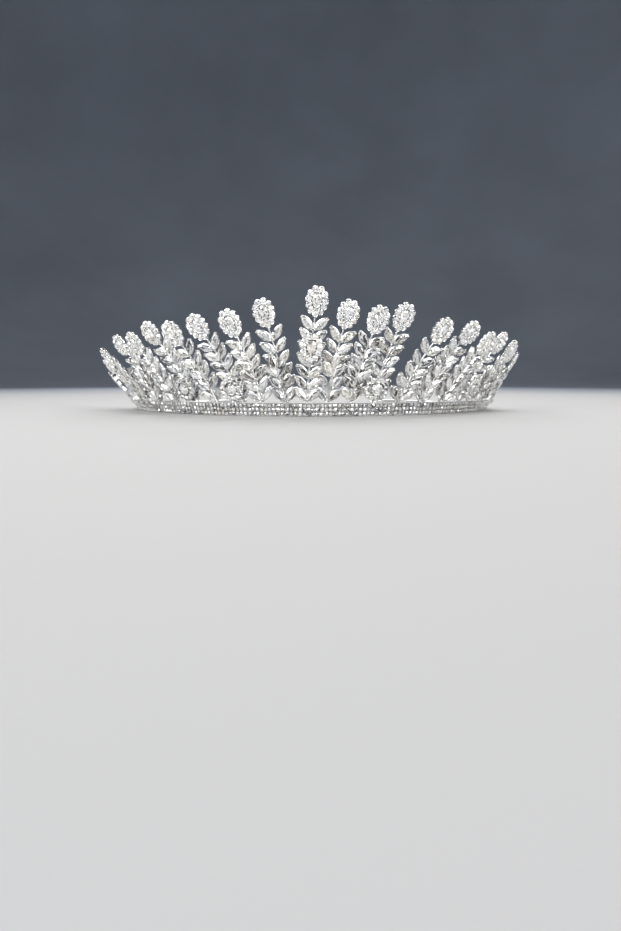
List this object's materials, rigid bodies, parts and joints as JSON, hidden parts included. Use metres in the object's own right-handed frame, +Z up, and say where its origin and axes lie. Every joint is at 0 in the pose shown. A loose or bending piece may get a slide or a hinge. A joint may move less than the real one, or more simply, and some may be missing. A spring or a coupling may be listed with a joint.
{
  "type": "bridal tiara",
  "caption": "Rigid bridal tiara: a round wire hoop and a paved band that curves round the front, with leafy branches that end in flower clusters, low rosettes and a loop at each end.",
  "frame": {"origin": "centre of the head opening, on the plane that the hoop and the band rest on", "axes": "+Z up out of the head opening, -Y towards the front of the crown, +X to the viewer's right"},
  "size_m": [0.1832, 0.1542, 0.0431],
  "materials": {
    "plated_metal": "bright rhodium plating on brass castings",
    "clear_stone": "clear cubic zirconia, faceted and polished"
  },
  "bodies": {
    "root": {"hoop": "plated_metal", "band": "plated_metal", "branch_centre": "plated_metal", "branch_left_1": "plated_metal", "branch_left_2": "plated_metal", "branch_left_3": "plated_metal", "branch_left_4": "plated_metal", "branch_left_5": "plated_metal", "branch_left_6": "plated_metal", "branch_left_7": "plated_metal", "branch_left_8": "plated_metal", "branch_left_9": "plated_metal", "branch_left_10": "plated_metal", "branch_right_1": "plated_metal", "branch_right_2": "plated_metal", "branch_right_3": "plated_metal", "branch_right_4": "plated_metal", "branch_right_5": "plated_metal", "branch_right_6": "plated_metal", "branch_right_7": "plated_metal", "branch_right_8": "plated_metal", "branch_right_9": "plated_metal", "branch_right_10": "plated_metal", "spray_left_1": "plated_metal", "spray_left_2": "plated_metal", "spray_left_3": "plated_metal", "spray_left_4": "plated_metal", "spray_left_5": "plated_metal", "spray_left_6": "plated_metal", "spray_right_1": "plated_metal", "spray_right_2": "plated_metal", "spray_right_3": "plated_metal", "spray_right_4": "plated_metal", "spray_right_5": "plated_metal", "spray_right_6": "plated_metal", "spray_right_7": "plated_metal", "rosette_left_inner": "plated_metal", "rosette_left_outer": "plated_metal", "rosette_right_inner": "plated_metal", "rosette_right_outer": "plated_metal", "stones_far_left": "clear_stone", "stones_left": "clear_stone", "stones_centre": "clear_stone", "stones_right": "clear_stone", "stones_far_right": "clear_stone"}
  },
  "joints": []
}
